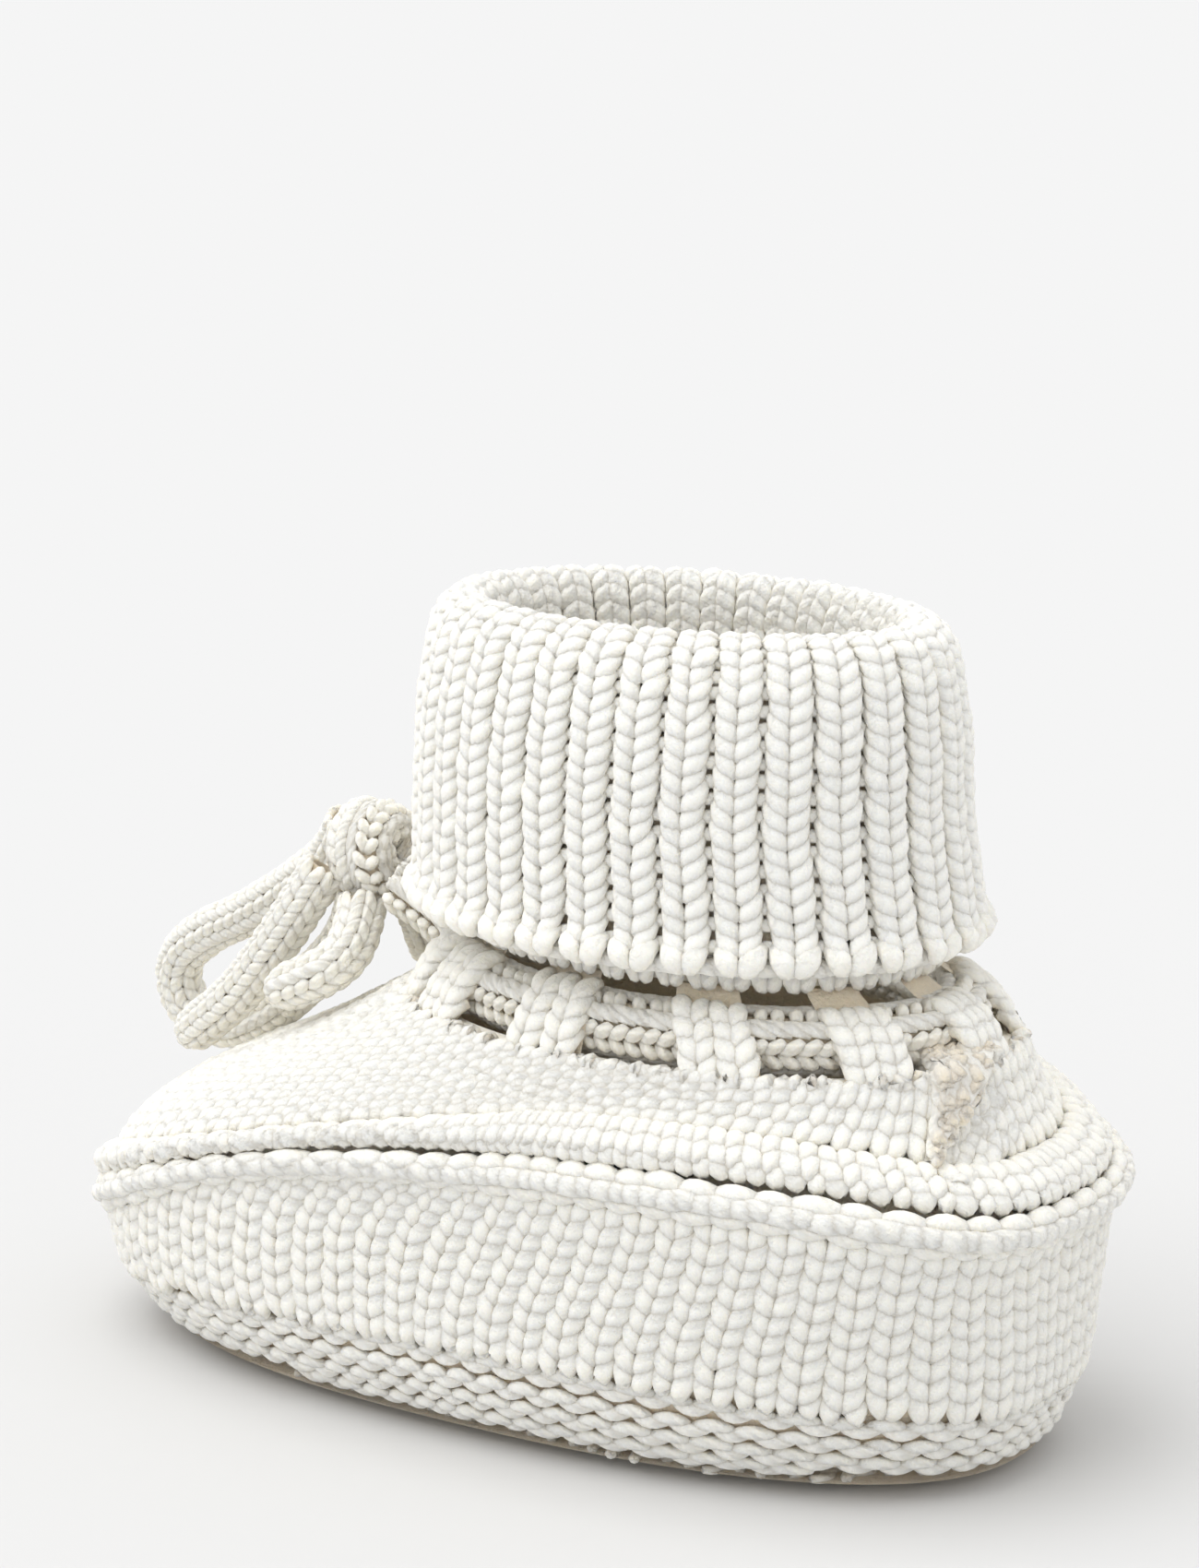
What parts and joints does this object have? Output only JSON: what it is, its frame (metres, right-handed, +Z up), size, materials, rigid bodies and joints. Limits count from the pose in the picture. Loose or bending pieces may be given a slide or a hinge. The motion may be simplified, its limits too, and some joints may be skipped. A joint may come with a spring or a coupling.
{
  "type": "knitted baby bootie",
  "caption": "Hand-knitted baby bootie with a ribbed turn-down cuff, an eyelet ankle row with a drawstring tied in a bow, and two garter ridges above a soft sole.",
  "frame": {"origin": "on the floor under the middle of the foot's length and width", "axes": "+Z up, toe toward -X, heel toward +X, +Y to one side of the foot"},
  "size_m": [0.1073, 0.0558, 0.0734],
  "materials": {
    "plain_knit": "matte",
    "garter_knit": "matte",
    "rib_knit": "matte",
    "seam_yarn": "matte",
    "cord_knit": "matte"
  },
  "bodies": {
    "bootie": {"sole": "plain_knit", "side_wall": "plain_knit", "lower_ridge": "garter_knit", "upper_ridge": "garter_knit", "instep_panel": "plain_knit", "upper_side": "plain_knit", "eyelet_strap_01": "plain_knit", "eyelet_strap_02": "plain_knit", "eyelet_strap_03": "plain_knit", "eyelet_strap_04": "plain_knit", "eyelet_strap_05": "plain_knit", "eyelet_strap_06": "plain_knit", "eyelet_strap_07": "plain_knit", "eyelet_strap_08": "plain_knit", "eyelet_strap_09": "plain_knit", "eyelet_strap_10": "plain_knit", "eyelet_strap_11": "plain_knit", "leg_rib": "rib_knit", "cuff_flap": "rib_knit", "flap_edge": "rib_knit", "cuff_fold": "rib_knit", "heel_seam_upper": "seam_yarn", "heel_seam_lower": "seam_yarn", "cuff_seam": "seam_yarn", "ankle_cord": "cord_knit", "bow_knot": "cord_knit"},
    "front_loop": {"bow_loop_front": "cord_knit"},
    "far_loop": {"bow_loop_far": "cord_knit"},
    "near_tail": {"bow_tail_near": "cord_knit"},
    "short_tail": {"bow_tail_short": "cord_knit"}
  },
  "joints": [
    {"name": "front_loop_lift", "type": "hinge", "parent": "bootie", "child": "front_loop", "pos_m": [-0.0242, -0.0005, 0.046], "axis": [0, 1, 0], "range_deg": [0, 30]},
    {"name": "far_loop_lift", "type": "hinge", "parent": "bootie", "child": "far_loop", "pos_m": [-0.0242, -0.0005, 0.046], "axis": [1, 0, 0], "range_deg": [0, 25]},
    {"name": "near_tail_lift", "type": "hinge", "parent": "bootie", "child": "near_tail", "pos_m": [-0.0242, -0.0005, 0.046], "axis": [0, 1, 0], "range_deg": [0, 50]},
    {"name": "short_tail_lift", "type": "hinge", "parent": "bootie", "child": "short_tail", "pos_m": [-0.0242, -0.0005, 0.046], "axis": [-1, 0, 0], "range_deg": [0, 35]}
  ]
}
